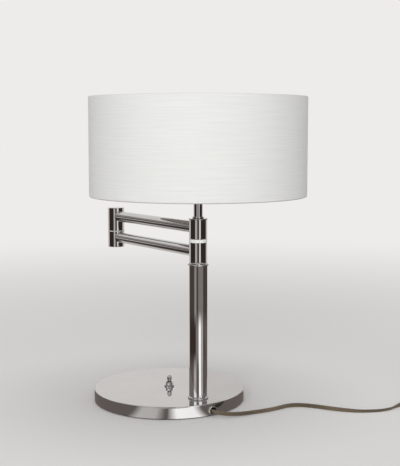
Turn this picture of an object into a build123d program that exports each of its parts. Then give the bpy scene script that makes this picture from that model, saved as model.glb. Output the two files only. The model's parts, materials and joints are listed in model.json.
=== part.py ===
from build123d import *
import os
from math import cos, pi, radians, sin, tan

os.makedirs("parts", exist_ok=True)

# Swing arm desk lamp. Millimetres, +Z up, origin at the centre of the foot pad's underside.
# The column stands behind the centre (+Y), the folded arms reach forward (-Y).

# ---------------------------------------------------------------- driving dimensions
fit_clearance = 0.05      # radial gap of parts pushed or screwed together
running_clearance = 0.05  # radial gap of a hub on its pivot post
swing_clearance = 0.3     # height gap between the folded arms

# base
base_diameter = 256.0
base_height = 21.5
shell_wall = 1.5
shell_edge = 1.0          # rounding of the top face's rim
pad_thickness = 2.0
pad_inset = 4.0
plate_thickness = 1.2
weight_gap = 0.4          # radial gap between the weight and the cover
channel_width = 17.0      # wire channel under the weight

# mains lead entry
bushing_bore = 10.0
bushing_wall = 0.6
bushing_flange_width = 1.9  # flange's rim beyond the sleeve
bushing_flange_depth = 2.0
bushing_length = 9.0      # sleeve, from the flange inwards
bushing_nut_wall = 0.6    # from the sleeve to the nut's flats
bushing_nut_depth = 2.5

# toggle switch
switch_bush_diameter = 12.0
switch_bush_rise = 7.6    # above the cover
switch_bush_edge = 0.6
switch_bush_rim = 1.0     # flat left round the mouth
switch_throat_rise = 1.0  # above the cover, where the mouth starts to open
switch_nut_flats = 14.0
switch_nut_depth = 2.6    # with its flange
switch_nut_crown = 0.6    # height of the eased corners
switch_nut_face_inset = 0.1
switch_nut_turn = 25.0    # degrees from +X to a corner
switch_flange_diameter = 17.0
switch_flange_thickness = 0.9
switch_body_length = 27.0
switch_body_width = 15.0
switch_body_depth = 13.5
switch_pocket_gap = 3.5
switch_body_corner = 1.5
lever_rise = 19.1         # lever tip above the cover
lever_foot = 4.0          # below the pivot
lever_waist = 8.0         # above the pivot, where the bat starts to swell
lever_shoulder = 11.0     # above the pivot, where it has swollen
lever_neck_diameter = 4.6
lever_shoulder_diameter = 7.2
lever_tip_diameter = 7.8
lever_play = 0.8          # gap round the neck at the pivot
lever_throw = 24.0        # full travel, degrees
lever_heading = 230.0     # where it is thrown to at rest, degrees from +X

# column
column_inset = 40.7       # column's axis to the base's rim
column_diameter = 30.0
column_wall = 1.5
column_length = 219.5
foot_ring_diameter = 34.0
foot_ring_height = 3.4
foot_ring_foot_inset = 0.6
foot_ring_lip_inset = 0.9
foot_plug_height = 6.0
foot_plug_edge = 1.0
collar_diameter = 34.0
collar_height = 5.0
collar_neck_proud = 0.2   # beyond the tube, above and below the bead
collar_top_inset = 0.6
head_spigot = 14.0
head_ledge = 5.0          # floor under the pivot post's seat
rod_diameter = 10.0       # hollow threaded rods in column and stem
rod_bore = 8.0
nut_flats = 14.0
nut_depth = 6.0
tie_washer_diameter = 16.0
tie_washer_thickness = 2.0
thread_proud = 1.0        # thread standing past a nut

# swing joints
hub_diameter = 29.5
elbow_diameter = 30.0
hub_wall = 2.0
hub_floor = 6.0
hub_height = 33.0
hub_cap_thickness = 2.5
barrel_edge = 0.4
thrust_washer = 0.8
thrust_washer_inset = 1.5  # inside the hub's rim
thrust_washer_edge = 0.2
rest_washer = 5.4
rest_washer_edge = 0.5
rivet_head_diameter = 12.0
rivet_head_depth = 1.6
rivet_sink = 0.4          # head below the washer's face
rivet_edge = 0.6
elbow_washer = 1.0
elbow_washer_edge = 0.4
elbow_washer_proud = 0.5
elbow_seam_rise = 28.8    # top of the elbow's lower barrel above the hub's underside
post_diameter = 14.0
post_bore = 8.5
post_edge = 0.6
lock_nut_flats = 19.0
lock_nut_depth = 3.6
spring_washer_diameter = 21.0
spring_washer_thickness = 1.0
arm_length = 264.5        # column axis to elbow axis
arm_diameter = 19.0
arm_wall = 1.5
arm_rise = 17.7           # arm's axis above the underside of its hub
wire_hole = 9.0

# stem and lamp holder
hub_flange_diameter = 31.0
hub_flange_thickness = 1.5
hub_flange_edge = 0.5
hub_cap_spigot = 4.0
stem_nut_depth = 3.5
stem_collar_diameter = 18.6
stem_collar_height = 3.0
stem_collar_edge = 0.7
stem_diameter = 15.0
stem_wall = 1.2
stem_length = 28.5
holder_diameter = 38.5
holder_cap_height = 22.0
holder_skirt_height = 36.0
holder_wall = 1.2
holder_mouth = 29.0
holder_edge = 1.0
holder_neck_wall = 1.5
holder_neck_height = 4.0
holder_shoulder_height = 16.0
holder_thread = 6.0       # depth of the cap's thread on the stem's rod
holder_boss_wall = 3.0
core_depth = 12.0
terminal_pocket_diameter = 5.0
contact_rise = 2.2
contact_width = 5.0
contact_sheet = 0.6
contact_foot = 7.0        # from the axis to the tongue's fixed end
contact_bend = 3.0        # from the axis to its bend
lamp_thread = 27.0        # lamp cap thread, nominal
thread_play = 0.35
screw_shell_wall = 0.5
screw_shell_height = 20.0
shade_ring_diameter = 54.0
shade_ring_hub = 47.0
shade_ring_height = 6.0
shade_ring_flange = 1.6
shade_ring_ribs = 12
shade_ring_rib_diameter = 4.0
shade_seat_rise = 16.0    # gimbal's seat above the foot of the skirt

# lamp
lamp_cap_height = 24.0
lamp_tip_diameter = 9.0
lamp_tip_height = 1.0
lamp_glass_height = 4.0   # glass insulator round the tip
lamp_thread_start = 1.5
lamp_collar_height = 26.0
lamp_collar_lip = 0.3
lamp_collar_share = 0.8   # collar's top diameter over the globe's
lamp_globe_diameter = 60.0
globe_wall = 1.0

# shade
shade_diameter = 350.0
shade_height = 158.5
shade_lift = 36.6         # lower edge above the top of the upper hub
fabric_thickness = 0.5
liner_thickness = 1.0
hem_depth = 6.0
hem_lip = 0.2
wire_diameter = 3.2
spoke_count = 3
spoke_diameter = 3.0
spoke_shelf = 24.0        # level run from the gimbal ring
spoke_foot = 22.0         # nearly level run to the lower hoop
spoke_foot_rise = 1.0
spoke_bend = 9.0
gimbal_ring_diameter = 60.0
gimbal_ring_thickness = 1.6
gimbal_play = 0.6

# mains lead
cord_diameter = 6.8
coil_turn_diameter = 74.8  # middle of the turns
coil_rows = 3
coil_layers = 2
tie_thickness = 0.8
tie_width = 7.0
plug_length = 37.0
plug_width = 34.0
plug_thickness = 13.6
plug_tail_width = 14.4
plug_waist_width = 17.0
plug_waist = 8.0          # from the relief
plug_shoulder = 23.0      # from the relief
plug_corner = 1.6
plug_edge = 1.4
grip_length = 15.0
grip_width = 12.0
grip_depth = 0.8
grip_ribs = 4
grip_rib_width = 1.5
relief_length = 24.0
relief_tip_wall = 0.6
relief_foot_wall = 2.4
relief_slots = 4
relief_slot_width = 1.6
relief_slot_wall = 0.8    # left round the lead under a slot
pin_diameter = 4.0
pin_length = 19.0
pin_spacing = 18.6

# ---------------------------------------------------------------- heights and places
shell_roof = base_height - shell_wall
plate_top = pad_thickness + plate_thickness
shell_inner = base_diameter / 2 - shell_wall
bushing_sleeve = bushing_bore / 2 + bushing_wall
bushing_nut_flats = 2 * (bushing_sleeve + bushing_nut_wall)
bushing_height = plate_top + bushing_nut_flats / 2 + fit_clearance
channel_roof = bushing_height + bushing_nut_flats / 2 + fit_clearance
column_offset = base_diameter / 2 - column_inset
column_top = base_height + column_length
head_top = column_top + collar_height
hub_bottom = head_top + thrust_washer
lower_hub_top = hub_bottom + hub_height
rest_top = lower_hub_top + rest_washer
upper_hub_bottom = rest_top + swing_clearance
upper_hub_top = upper_hub_bottom + hub_height
elbow_seam = hub_bottom + elbow_seam_rise
elbow_upper_bottom = elbow_seam + elbow_washer
lower_arm_height = hub_bottom + arm_rise
upper_arm_height = upper_hub_bottom + arm_rise
hub_bore = hub_diameter / 2 - hub_wall
elbow_bore = elbow_diameter / 2 - hub_wall
elbow_offset = column_offset - arm_length
stem_bottom = upper_hub_top + stem_collar_height
holder_bottom = stem_bottom + stem_length
skirt_bottom = holder_bottom + holder_cap_height
skirt_top = skirt_bottom + holder_skirt_height
seat_height = skirt_bottom + shade_seat_rise
shade_bottom = upper_hub_top + shade_lift
shade_top = shade_bottom + shade_height

base_axis = Axis((0, 0, 0), (0, 0, 1))
base_section = Plane.XZ
lever_lean = Vector(cos(radians(lever_heading)), sin(radians(lever_heading)), 0)
lever_pivot = lever_lean.cross(Vector(0, 0, 1))
column_axis = Axis((0, column_offset, 0), (0, 0, 1))
column_section = Plane.XZ.offset(-column_offset)


def switch_plane(height):
    """Horizontal plane on the base's axis, its y direction along the lever's throw."""
    return Plane((0, 0, height), x_dir=tuple(lever_pivot), z_dir=(0, 0, 1))


def column_plane(height):
    """Horizontal plane on the column's axis."""
    return Plane((0, column_offset, height))


def elbow_plane(height):
    """Horizontal plane on the elbow's axis."""
    return Plane((0, elbow_offset, height))


def finish(piece, label):
    """Name a finished piece and write it."""
    piece.part.label = label
    export_step(piece.part, f"parts/{label}.step")


# ---------------------------------------------------------------- base
with BuildPart() as base_pad:
    with BuildSketch():
        Circle(base_diameter / 2 - pad_inset)
    extrude(amount=pad_thickness)
finish(base_pad, "base_pad")

with BuildPart() as base_plate:
    with BuildSketch(Plane.XY.offset(pad_thickness)):
        Circle(shell_inner - weight_gap)
    extrude(amount=plate_thickness)
finish(base_plate, "base_plate")

# Spun cover: a shallow cup, open below, bored for the switch, the tie rod and the lead.
with BuildPart() as base_cover:
    with BuildSketch(Plane.XY.offset(pad_thickness)):
        Circle(base_diameter / 2)
    extrude(amount=base_height - pad_thickness)
    fillet(base_cover.edges().sort_by(Axis.Z)[-1], shell_edge)
    with BuildSketch(Plane.XY.offset(pad_thickness)):
        Circle(shell_inner)
    extrude(amount=shell_roof - pad_thickness, mode=Mode.SUBTRACT)
    with Locations((0, 0, base_height)):
        Hole(switch_bush_diameter / 2 + fit_clearance)
    with Locations((0, column_offset, base_height)):
        Hole(rod_diameter / 2 + fit_clearance)
    with BuildSketch(Plane.XZ.offset(-base_diameter / 2 - shell_wall)):
        with Locations((0, bushing_height)):
            Circle(bushing_sleeve + fit_clearance)
    extrude(amount=bushing_length, mode=Mode.SUBTRACT)
finish(base_cover, "base_cover")

# Cast weight: switch pocket right through, wire channel from the pocket to the rear edge.
pocket_length = switch_body_length + 2 * switch_pocket_gap
pocket_width = switch_body_width + 2 * switch_pocket_gap
with BuildPart() as base_weight:
    with BuildSketch(Plane.XY.offset(plate_top)):
        Circle(shell_inner - weight_gap)
    extrude(amount=shell_roof - plate_top)
    chamfer(base_weight.edges().sort_by(Axis.Z)[-1], shell_edge)
    with BuildSketch(switch_plane(plate_top)):
        Rectangle(pocket_width, pocket_length)
    extrude(amount=shell_roof - plate_top, mode=Mode.SUBTRACT)
    with BuildSketch(Plane.XY.offset(plate_top)):
        Rectangle(channel_width, base_diameter / 2, align=(Align.CENTER, Align.MIN))
    extrude(amount=channel_roof - plate_top, mode=Mode.SUBTRACT)
    with Locations((0, column_offset, shell_roof)):
        Hole(rod_diameter / 2 + fit_clearance)
finish(base_weight, "base_weight")

# ---------------------------------------------------------------- lead entry
flange_face = base_diameter / 2 + bushing_flange_depth
flange_rim = bushing_sleeve + bushing_flange_width
bushing_axis = Axis((0, 0, bushing_height), (0, 1, 0))
with BuildPart() as cord_bushing:
    with BuildSketch(Plane.YZ):
        with BuildLine():
            Polyline(
                (base_diameter / 2 - bushing_length, bushing_height + bushing_bore / 2),
                (base_diameter / 2 - bushing_length, bushing_height + bushing_sleeve),
                (base_diameter / 2, bushing_height + bushing_sleeve),
                (base_diameter / 2, bushing_height + flange_rim),
                (flange_face, bushing_height + flange_rim),
                (flange_face, bushing_height + bushing_bore / 2),
                close=True,
            )
        make_face()
    revolve(axis=bushing_axis)
    face_edges = cord_bushing.edges().filter_by(GeomType.CIRCLE).group_by(Axis.Y)[-1]
    fillet(face_edges, bushing_flange_depth * 0.45)
finish(cord_bushing, "cord_bushing")

nut_seat = (shell_inner**2 - (bushing_nut_flats / 2 / cos(pi / 6)) ** 2) ** 0.5
with BuildPart() as bushing_nut:
    with BuildSketch(Plane.XZ.offset(-nut_seat)):
        with Locations((0, bushing_height)):
            RegularPolygon(bushing_nut_flats / 2, 6, major_radius=False)
            Circle(bushing_sleeve + fit_clearance, mode=Mode.SUBTRACT)
    extrude(amount=bushing_nut_depth)
finish(bushing_nut, "bushing_nut")

# ---------------------------------------------------------------- toggle switch
with BuildPart() as switch_body:
    with BuildSketch(switch_plane(shell_roof - switch_body_depth)):
        RectangleRounded(switch_body_width, switch_body_length, switch_body_corner)
    extrude(amount=switch_body_depth)
    # hollow where the lever's foot moves
    with BuildSketch(switch_plane(shell_roof - switch_body_depth / 2)):
        Rectangle(switch_body_width / 2, switch_body_length / 2)
    extrude(amount=switch_body_depth / 2, mode=Mode.SUBTRACT)
finish(switch_body, "switch_body")

lever_pivot_height = base_height - shell_wall / 2
bush_radius = switch_bush_diameter / 2
bush_top = base_height + switch_bush_rise
throat_radius = lever_neck_diameter / 2 + lever_play
with BuildPart() as switch_bush:
    with BuildSketch(base_section):
        with BuildLine():
            Polyline(
                (throat_radius, shell_roof),
                (bush_radius, shell_roof),
                (bush_radius, bush_top - switch_bush_edge),
                (bush_radius - switch_bush_edge, bush_top),
                (bush_radius - switch_bush_rim, bush_top),
                (throat_radius, base_height + switch_throat_rise),
                close=True,
            )
        make_face()
    revolve(axis=base_axis)
finish(switch_bush, "switch_bush")

nut_corner = switch_nut_flats / 2 / cos(pi / 6)
nut_top = base_height + switch_nut_depth
with BuildPart() as switch_nut:
    with BuildSketch(Plane.XY.offset(base_height)):
        RegularPolygon(switch_nut_flats / 2, 6, major_radius=False, rotation=switch_nut_turn)
    extrude(amount=switch_nut_depth)
    # crown the hexagon's corners
    with BuildSketch(base_section):
        with BuildLine():
            Polyline(
                (0, base_height),
                (nut_corner, base_height),
                (nut_corner, nut_top - switch_nut_crown),
                (switch_nut_flats / 2 - switch_nut_face_inset, nut_top),
                (0, nut_top),
                close=True,
            )
        make_face()
    revolve(axis=base_axis, mode=Mode.INTERSECT)
    with BuildSketch(Plane.XY.offset(base_height)):
        Circle(switch_flange_diameter / 2)
    extrude(amount=switch_flange_thickness)
    with BuildSketch(Plane.XY.offset(base_height)):
        Circle(bush_radius + fit_clearance)
    extrude(amount=switch_nut_depth, mode=Mode.SUBTRACT)
finish(switch_nut, "switch_nut")

# Bat lever, thrown to one side at rest.
lever_length = lever_rise + shell_wall / 2
lever_tilt = radians(lever_throw / 2)
lever_up = lever_lean * sin(lever_tilt) + Vector(0, 0, cos(lever_tilt))
lever_plane = Plane(
    origin=(0, 0, lever_pivot_height),
    x_dir=tuple(lever_pivot),
    z_dir=tuple(lever_pivot.cross(lever_up)),
)
tip_radius = lever_tip_diameter / 2
tip_centre = lever_length - tip_radius
with BuildPart() as switch_lever:
    with BuildSketch(lever_plane):
        with BuildLine():
            foot = Line((0, -lever_foot), (lever_neck_diameter / 2, -lever_foot))
            neck = Line(foot @ 1, (lever_neck_diameter / 2, lever_waist))
            swell = Line(neck @ 1, (lever_shoulder_diameter / 2, lever_shoulder))
            taper = Line(swell @ 1, (tip_radius, tip_centre))
            dome = ThreePointArc(
                taper @ 1,
                (tip_radius * cos(pi / 4), tip_centre + tip_radius * sin(pi / 4)),
                (0, lever_length),
            )
            Line(dome @ 1, foot @ 0)
        make_face()
    revolve(axis=Axis((0, 0, lever_pivot_height), tuple(lever_up)))
finish(switch_lever, "switch_lever")

# ---------------------------------------------------------------- column
column_bore = column_diameter / 2 - column_wall

with BuildPart() as column_foot_ring:
    with BuildSketch(column_section):
        with BuildLine():
            bead_wall = column_diameter / 2 + fit_clearance
            rim = foot_ring_diameter / 2
            floor = Line((bead_wall, base_height), (rim - foot_ring_foot_inset, base_height))
            bead = ThreePointArc(
                floor @ 1,
                (rim, base_height + foot_ring_height * 0.4),
                (rim - foot_ring_lip_inset, base_height + foot_ring_height * 0.82),
            )
            lip = Line(bead @ 1, (bead_wall, base_height + foot_ring_height))
            Line(lip @ 1, floor @ 0)
        make_face()
    revolve(axis=column_axis)
finish(column_foot_ring, "column_foot_ring")

with BuildPart() as column_foot_plug:
    with BuildSketch(column_plane(base_height)):
        Circle(column_bore - fit_clearance)
        Circle(rod_diameter / 2 + fit_clearance, mode=Mode.SUBTRACT)
    extrude(amount=foot_plug_height)
    chamfer(column_foot_plug.edges().group_by(Axis.Z)[-1].sort_by(SortBy.RADIUS)[-1], foot_plug_edge)
finish(column_foot_plug, "column_foot_plug")

with BuildPart() as column_tube:
    with BuildSketch(column_plane(base_height)):
        Circle(column_diameter / 2)
        Circle(column_bore, mode=Mode.SUBTRACT)
    extrude(amount=column_length)
finish(column_tube, "column_tube")

post_seat = column_top - head_spigot + head_ledge
tie_nut_top = channel_roof - tie_washer_thickness
tie_rod_bottom = tie_nut_top - nut_depth - thread_proud
with BuildPart() as tie_rod:
    with BuildSketch(column_plane(tie_rod_bottom)):
        Circle(rod_diameter / 2)
        Circle(rod_bore / 2, mode=Mode.SUBTRACT)
    extrude(amount=post_seat - tie_rod_bottom)
finish(tie_rod, "tie_rod")

with BuildPart() as tie_washer:
    with BuildSketch(column_plane(tie_nut_top)):
        Circle(tie_washer_diameter / 2)
        Circle(rod_diameter / 2 + fit_clearance, mode=Mode.SUBTRACT)
    extrude(amount=tie_washer_thickness)
finish(tie_washer, "tie_washer")


def rod_nut(height, depth):
    """Hexagon nut on a hollow rod of the column axis, bearing face up."""
    with BuildPart() as nut:
        with BuildSketch(column_plane(height - depth)):
            RegularPolygon(nut_flats / 2, 6, major_radius=False)
            Circle(rod_diameter / 2 + fit_clearance, mode=Mode.SUBTRACT)
        extrude(amount=depth)
    return nut


finish(rod_nut(tie_nut_top, nut_depth), "tie_nut")

# Turned head: spigot inside the tube, moulded collar on top, seat for the pivot post.
with BuildPart() as column_head:
    with BuildSketch(column_section):
        with BuildLine():
            seat_bore = post_diameter / 2 + fit_clearance
            rod_hole = rod_diameter / 2 + fit_clearance
            neck = column_diameter / 2 + collar_neck_proud
            band = collar_height * 0.18  # plain band under and over the bead
            start = (rod_hole, column_top - head_spigot)
            outline = Polyline(
                start,
                (column_bore - fit_clearance, column_top - head_spigot),
                (column_bore - fit_clearance, column_top),
                (neck, column_top),
                (neck, column_top + band),
            )
            bead = ThreePointArc(
                outline @ 1,
                (collar_diameter / 2, column_top + collar_height / 2),
                (neck, head_top - band),
            )
            Polyline(
                bead @ 1,
                (column_diameter / 2 - collar_top_inset, head_top),
                (seat_bore, head_top),
                (seat_bore, post_seat),
                (rod_hole, post_seat),
                start,
            )
        make_face()
    revolve(axis=column_axis)
finish(column_head, "column_head")


# ---------------------------------------------------------------- swing joints
def pivot_post(axis_plane, foot, floor_top):
    """Hollow post from its seat to just above its lock nut."""
    top = floor_top + spring_washer_thickness + lock_nut_depth + thread_proud
    with BuildPart() as post:
        with BuildSketch(axis_plane(foot)):
            Circle(post_diameter / 2)
            Circle(post_bore / 2, mode=Mode.SUBTRACT)
        extrude(amount=top - foot)
        chamfer(post.edges().group_by(Axis.Z)[-1].sort_by(SortBy.RADIUS)[-1], post_edge)
    return post


def spring_washer(axis_plane, height):
    """Washer under a lock nut, held on the post."""
    with BuildPart() as washer:
        with BuildSketch(axis_plane(height)):
            Circle(spring_washer_diameter / 2)
            Circle(post_diameter / 2 + fit_clearance, mode=Mode.SUBTRACT)
        extrude(amount=spring_washer_thickness)
    return washer


def lock_nut(axis_plane, height):
    """Thin hexagon nut screwed on the post."""
    with BuildPart() as nut:
        with BuildSketch(axis_plane(height + spring_washer_thickness)):
            RegularPolygon(lock_nut_flats / 2, 6, major_radius=False)
            Circle(post_diameter / 2 + fit_clearance, mode=Mode.SUBTRACT)
        extrude(amount=lock_nut_depth)
    return nut


def flat_ring(axis_plane, height, outer_radius, inner_radius, thickness, edge):
    """Flat washer with eased outer edges."""
    with BuildPart() as ring:
        with BuildSketch(axis_plane(height)):
            Circle(outer_radius)
            Circle(inner_radius, mode=Mode.SUBTRACT)
        extrude(amount=thickness)
        fillet(ring.edges().filter_by(GeomType.CIRCLE).sort_by(SortBy.RADIUS)[-2:], edge)
    return ring


def barrel(axis_plane, radius, bottom, top, arm_height, floor=0.0, roof=0.0, hole=post_diameter / 2):
    """Turned barrel: bored from an open end, drilled for its post and for the wire."""
    with BuildPart() as body:
        with BuildSketch(axis_plane(bottom)):
            Circle(radius)
        extrude(amount=top - bottom)
        chamfer(body.edges().filter_by(GeomType.CIRCLE), barrel_edge)
        with BuildSketch(axis_plane(bottom + floor)):
            Circle(radius - hub_wall)
        extrude(amount=top - roof - bottom - floor, mode=Mode.SUBTRACT)
        with BuildSketch(axis_plane(bottom)):
            Circle(hole)
        extrude(amount=top - bottom, mode=Mode.SUBTRACT)
        # wire way through the side that carries the arm
        side = -1 if axis_plane is column_plane else 1
        face_y = axis_plane(0).origin.Y
        with BuildSketch(Plane.XZ.offset(-face_y)):
            with Locations((0, arm_height)):
                Circle(wire_hole / 2)
        extrude(amount=-side * radius, mode=Mode.SUBTRACT)
    return body


def cap_disc(axis_plane, radius, bottom, thickness):
    """Plain disc let into the open end of a barrel."""
    with BuildPart() as cap:
        with BuildSketch(axis_plane(bottom)):
            Circle(radius - fit_clearance)
        extrude(amount=thickness)
    return cap


def arm_tube(height, hub_radius, knuckle_radius):
    """Round tube coped to the two barrels that it joins."""
    with BuildPart() as tube:
        with BuildSketch(Plane.XZ.offset(-column_offset)):
            with Locations((0, height)):
                Circle(arm_diameter / 2)
                Circle(arm_diameter / 2 - arm_wall, mode=Mode.SUBTRACT)
        extrude(amount=arm_length)
        for plane, radius in ((column_plane, hub_radius), (elbow_plane, knuckle_radius)):
            with BuildSketch(plane(height - arm_diameter)):
                Circle(radius)
            extrude(amount=2 * arm_diameter, mode=Mode.SUBTRACT)
    return tube


hub_radius = hub_diameter / 2
elbow_radius = elbow_diameter / 2
running_bore = post_diameter / 2 + running_clearance
held_bore = post_diameter / 2 + fit_clearance

# column joint, on the fixed post
column_floor_top = hub_bottom + hub_floor
finish(pivot_post(column_plane, post_seat, column_floor_top), "column_post")
thrust_rim = hub_radius - thrust_washer_inset
finish(
    flat_ring(column_plane, head_top, thrust_rim, running_bore, thrust_washer, thrust_washer_edge),
    "thrust_washer",
)
lower_hub = barrel(
    column_plane,
    hub_radius,
    hub_bottom,
    lower_hub_top,
    lower_arm_height,
    floor=hub_floor,
    hole=running_bore,
)
finish(lower_hub, "lower_hub")
finish(spring_washer(column_plane, column_floor_top), "column_spring_washer")
finish(lock_nut(column_plane, column_floor_top), "column_lock_nut")
finish(
    cap_disc(column_plane, hub_bore, lower_hub_top - hub_cap_thickness, hub_cap_thickness), "lower_hub_cap"
)

# white rest washer, riveted to the hub's cap
rivet_seat = rest_top - rivet_head_depth - rivet_sink
with BuildPart() as rest_pad:
    with BuildSketch(column_plane(lower_hub_top)):
        Circle(hub_radius)
        Circle(rod_bore / 2, mode=Mode.SUBTRACT)
    extrude(amount=rest_washer)
    fillet(rest_pad.edges().filter_by(GeomType.CIRCLE).sort_by(SortBy.RADIUS)[-2:], rest_washer_edge)
    with BuildSketch(column_plane(rivet_seat)):
        Circle(rivet_head_diameter / 2 + fit_clearance)
    extrude(amount=rivet_head_depth + rivet_sink, mode=Mode.SUBTRACT)
finish(rest_pad, "rest_washer")

with BuildPart() as rest_rivet:
    with BuildSketch(column_plane(lower_hub_top)):
        Circle(rod_bore / 2 - fit_clearance)
    extrude(amount=rivet_seat - lower_hub_top)
    with BuildSketch(column_plane(rivet_seat)):
        Circle(rivet_head_diameter / 2)
    extrude(amount=rivet_head_depth)
    fillet(rest_rivet.edges().group_by(Axis.Z)[-1], rivet_edge)
finish(rest_rivet, "rest_rivet")

finish(arm_tube(lower_arm_height, hub_radius, elbow_radius), "lower_arm_tube")

# elbow joint: the lower barrel carries the post, the upper barrel turns on it
elbow_roof = hub_floor / 2
finish(
    barrel(
        elbow_plane,
        elbow_radius,
        hub_bottom,
        elbow_seam,
        lower_arm_height,
        roof=elbow_roof,
        hole=held_bore,
    ),
    "elbow_lower",
)
finish(cap_disc(elbow_plane, elbow_bore, hub_bottom, hub_cap_thickness), "elbow_bottom_cap")
elbow_floor_top = elbow_upper_bottom + hub_floor
elbow_washer_rim = elbow_radius + elbow_washer_proud
finish(pivot_post(elbow_plane, elbow_seam - elbow_roof, elbow_floor_top), "elbow_post")
finish(
    flat_ring(elbow_plane, elbow_seam, elbow_washer_rim, held_bore, elbow_washer, elbow_washer_edge),
    "elbow_washer",
)
finish(
    barrel(
        elbow_plane,
        elbow_radius,
        elbow_upper_bottom,
        upper_hub_top,
        upper_arm_height,
        floor=hub_floor,
        hole=running_bore,
    ),
    "elbow_upper",
)
finish(spring_washer(elbow_plane, elbow_floor_top), "elbow_spring_washer")
finish(lock_nut(elbow_plane, elbow_floor_top), "elbow_lock_nut")
finish(
    cap_disc(elbow_plane, elbow_bore, upper_hub_top - hub_cap_thickness, hub_cap_thickness), "elbow_top_cap"
)
finish(arm_tube(upper_arm_height, hub_radius, elbow_radius), "upper_arm_tube")

# ---------------------------------------------------------------- upper hub and stem
flange_bottom = upper_hub_top - hub_flange_thickness
upper_hub = barrel(
    column_plane,
    hub_radius,
    upper_hub_bottom,
    flange_bottom,
    upper_arm_height,
    floor=hub_wall,
    hole=rod_bore / 2,
)
finish(upper_hub, "upper_hub")

with BuildPart() as upper_hub_cap:
    with BuildSketch(column_plane(flange_bottom - hub_cap_spigot)):
        Circle(hub_bore - fit_clearance)
    extrude(amount=hub_cap_spigot)
    with BuildSketch(column_plane(flange_bottom)):
        Circle(hub_flange_diameter / 2)
    extrude(amount=hub_flange_thickness)
    fillet(upper_hub_cap.edges().filter_by(GeomType.CIRCLE).sort_by(SortBy.RADIUS)[-2:], hub_flange_edge)
    with Locations((0, column_offset, upper_hub_top)):
        Hole(rod_diameter / 2 + fit_clearance)
finish(upper_hub_cap, "upper_hub_cap")

stem_nut_top = flange_bottom - hub_cap_spigot
finish(rod_nut(stem_nut_top, stem_nut_depth), "stem_nut")

with BuildPart() as stem_collar:
    with BuildSketch(column_plane(upper_hub_top)):
        Circle(stem_collar_diameter / 2)
        Circle(rod_diameter / 2 + fit_clearance, mode=Mode.SUBTRACT)
    extrude(amount=stem_collar_height)
    fillet(stem_collar.edges().filter_by(GeomType.CIRCLE).sort_by(SortBy.RADIUS)[-2:], stem_collar_edge)
finish(stem_collar, "stem_collar")

with BuildPart() as stem_tube:
    with BuildSketch(column_plane(stem_bottom)):
        Circle(stem_diameter / 2)
        Circle(stem_diameter / 2 - stem_wall, mode=Mode.SUBTRACT)
    extrude(amount=stem_length)
finish(stem_tube, "stem_tube")

stem_rod_bottom = stem_nut_top - stem_nut_depth - thread_proud
stem_rod_top = holder_bottom + holder_thread
with BuildPart() as stem_rod:
    with BuildSketch(column_plane(stem_rod_bottom)):
        Circle(rod_diameter / 2)
        Circle(rod_bore / 2, mode=Mode.SUBTRACT)
    extrude(amount=stem_rod_top - stem_rod_bottom)
finish(stem_rod, "stem_rod")

# ---------------------------------------------------------------- lamp holder
holder_radius = holder_diameter / 2
neck_radius = stem_diameter / 2 + holder_neck_wall
shoulder_height = holder_bottom + holder_shoulder_height
with BuildPart() as holder_cap:
    with BuildSketch(column_section):
        with BuildLine():
            rod_hole = rod_diameter / 2 + fit_clearance
            base_line = Line((rod_hole, holder_bottom), (neck_radius, holder_bottom))
            neck_line = Line(base_line @ 1, (neck_radius, holder_bottom + holder_neck_height))
            shoulder = TangentArc(neck_line @ 1, (holder_radius, shoulder_height), tangent=(1.0, 0.25))
            rim_line = Line(shoulder @ 1, (holder_radius, skirt_bottom))
            Polyline(
                rim_line @ 1,
                (holder_radius - holder_wall, skirt_bottom),
                (holder_radius - holder_wall, shoulder_height - holder_wall),
                (rod_hole + holder_boss_wall, holder_bottom + holder_thread),
                (rod_hole, holder_bottom + holder_thread),
                base_line @ 0,
            )
        make_face()
    revolve(axis=column_axis)
finish(holder_cap, "holder_cap")

with BuildPart() as holder_skirt:
    with BuildSketch(column_section):
        with BuildLine():
            Polyline(
                (holder_radius - holder_wall, skirt_bottom),
                (holder_radius, skirt_bottom),
                (holder_radius, skirt_top - holder_edge),
                (holder_radius - holder_edge, skirt_top),
                (holder_mouth / 2, skirt_top),
                (holder_mouth / 2, skirt_top - holder_wall),
                (holder_radius - holder_wall, skirt_top - holder_wall),
                close=True,
            )
        make_face()
    revolve(axis=column_axis)
finish(holder_skirt, "holder_skirt")

core_radius = holder_radius - holder_wall - fit_clearance
screw_bore = lamp_thread / 2 + thread_play
core_top = skirt_bottom + core_depth
with BuildPart() as holder_core:
    with BuildSketch(column_plane(skirt_bottom)):
        Circle(core_radius)
    extrude(amount=core_depth)
    with BuildSketch(column_plane(skirt_bottom)):
        with GridLocations(core_radius, 0, 2, 1):
            Circle(terminal_pocket_diameter / 2)
    extrude(amount=core_depth / 2, mode=Mode.SUBTRACT)
finish(holder_core, "holder_core")

# Brass screw shell and the centre tongue that presses on the lamp's tip.
tongue_tip = contact_bend / 2
with BuildPart() as holder_contacts:
    with BuildSketch(column_plane(core_top)):
        Circle(screw_bore + screw_shell_wall)
        Circle(screw_bore, mode=Mode.SUBTRACT)
    extrude(amount=screw_shell_height)
    with BuildSketch(Plane.YZ):
        with BuildLine():
            Polyline(
                (column_offset - contact_foot, core_top),
                (column_offset + contact_bend, core_top),
                (column_offset + contact_bend, core_top + contact_sheet),
                (column_offset - contact_bend, core_top + contact_sheet),
                (column_offset + tongue_tip, core_top + contact_rise),
                (column_offset + tongue_tip - contact_sheet / 2, core_top + contact_rise),
                (column_offset - contact_foot, core_top + contact_sheet),
                close=True,
            )
        make_face()
    extrude(amount=contact_width / 2, both=True)
finish(holder_contacts, "holder_contacts")

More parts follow.
